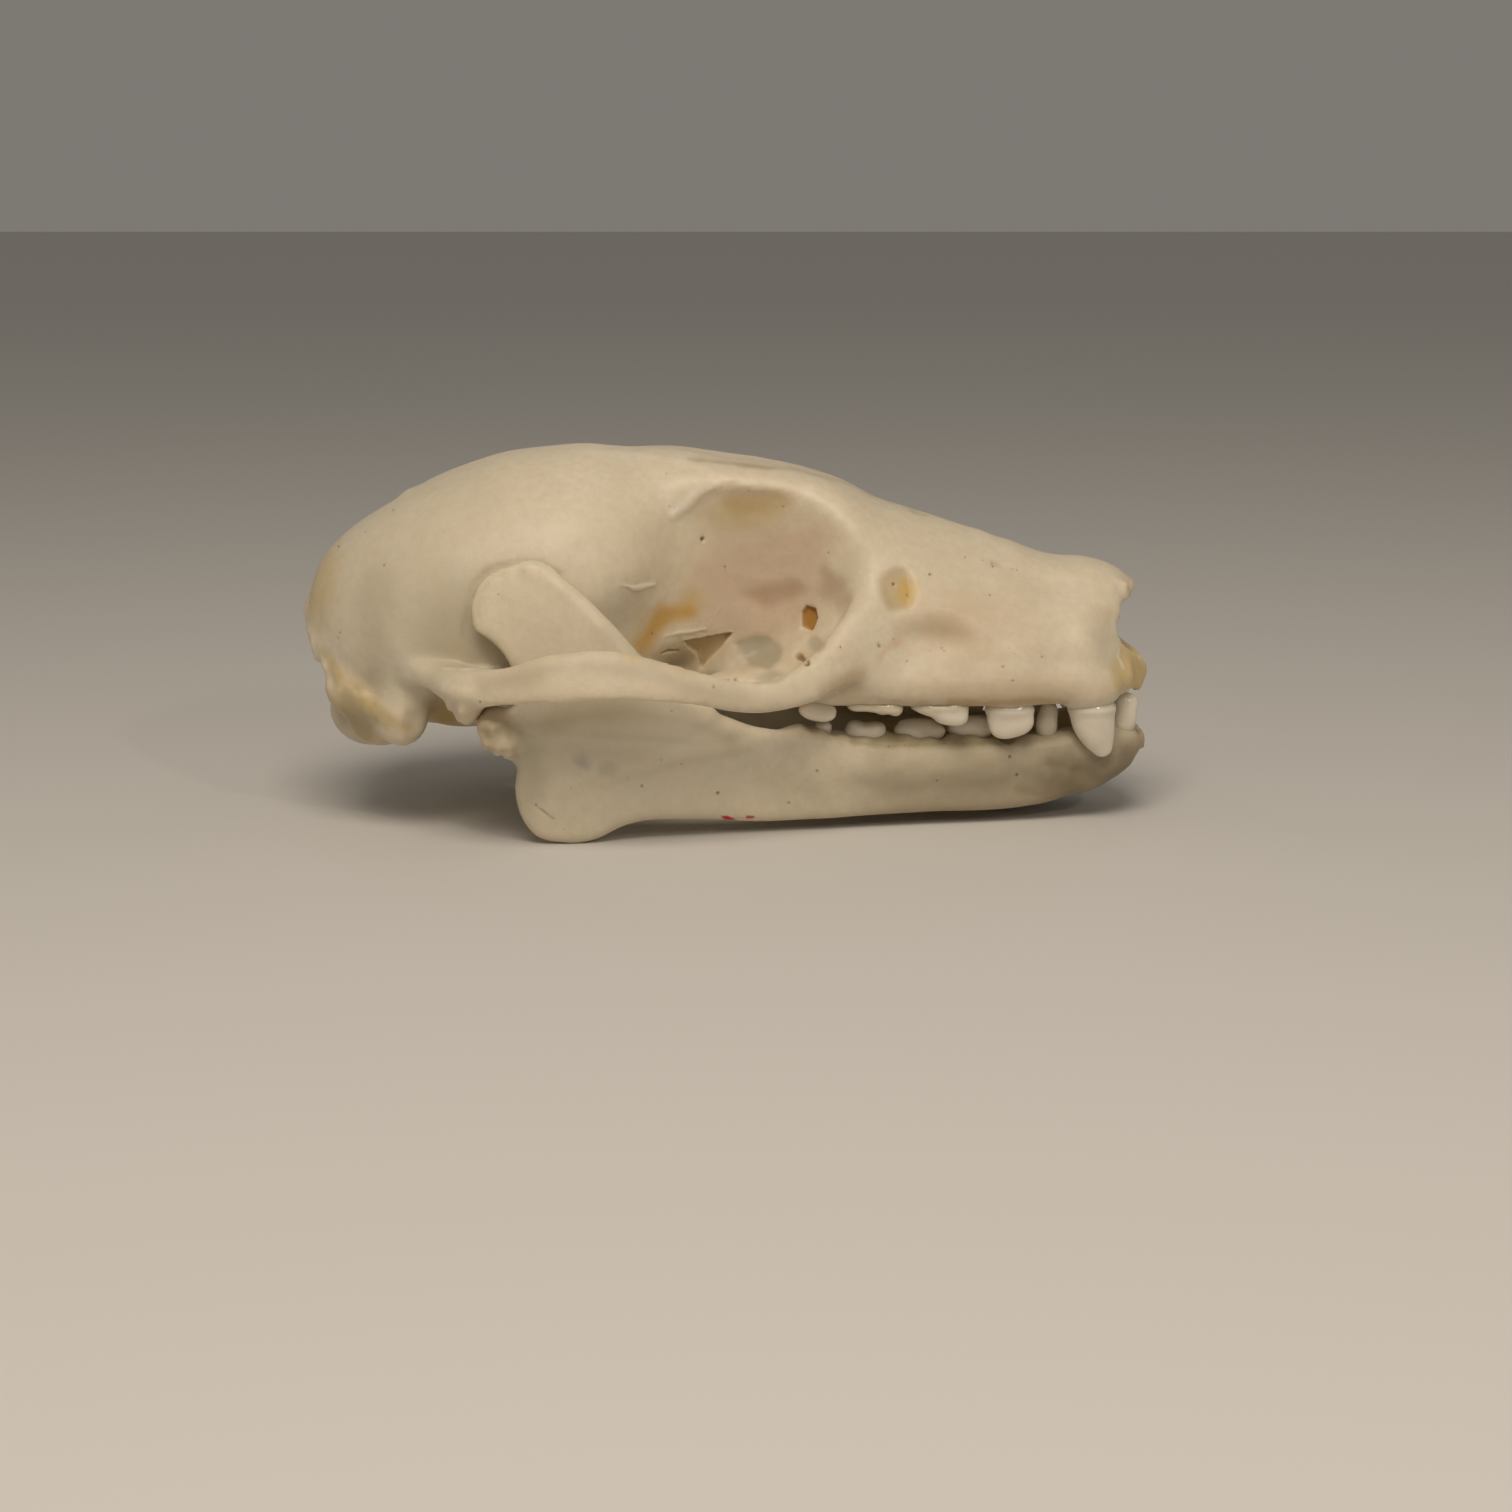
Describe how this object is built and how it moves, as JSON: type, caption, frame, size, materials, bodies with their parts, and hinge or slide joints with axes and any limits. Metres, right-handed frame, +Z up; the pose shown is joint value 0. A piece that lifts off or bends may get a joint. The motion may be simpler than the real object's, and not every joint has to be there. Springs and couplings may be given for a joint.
{
  "type": "bat skull",
  "caption": "Dry skull of a fruit bat with its lower jaw in place and loose teeth in their sockets, resting on the jaw's angles and chin.",
  "frame": {"origin": "on the resting plane, under the middle of the skull's length and breadth", "axes": "+X along the skull towards the snout, +Y to the animal's left, +Z up"},
  "size_m": [0.0413, 0.0252, 0.0182],
  "materials": {
    "bone": "cleaned dry bone, warm ivory, satin, a little translucent where thin",
    "tooth": "tooth enamel, creamy white, glossy"
  },
  "bodies": {
    "root": {"cranium": "bone", "mandible": "bone", "upper_canine_right": "tooth", "upper_canine_left": "tooth", "upper_front_premolar_right": "tooth", "upper_front_premolar_left": "tooth", "upper_back_premolar_right": "tooth", "upper_back_premolar_left": "tooth", "upper_first_molar_right": "tooth", "upper_first_molar_left": "tooth", "upper_second_molar_right": "tooth", "upper_second_molar_left": "tooth", "lower_canine_right": "tooth", "lower_canine_left": "tooth", "lower_front_premolar_right": "tooth", "lower_front_premolar_left": "tooth", "lower_back_premolar_right": "tooth", "lower_back_premolar_left": "tooth", "lower_first_molar_right": "tooth", "lower_first_molar_left": "tooth", "lower_second_molar_right": "tooth", "lower_second_molar_left": "tooth", "lower_third_molar_right": "tooth", "lower_third_molar_left": "tooth"}
  },
  "joints": []
}
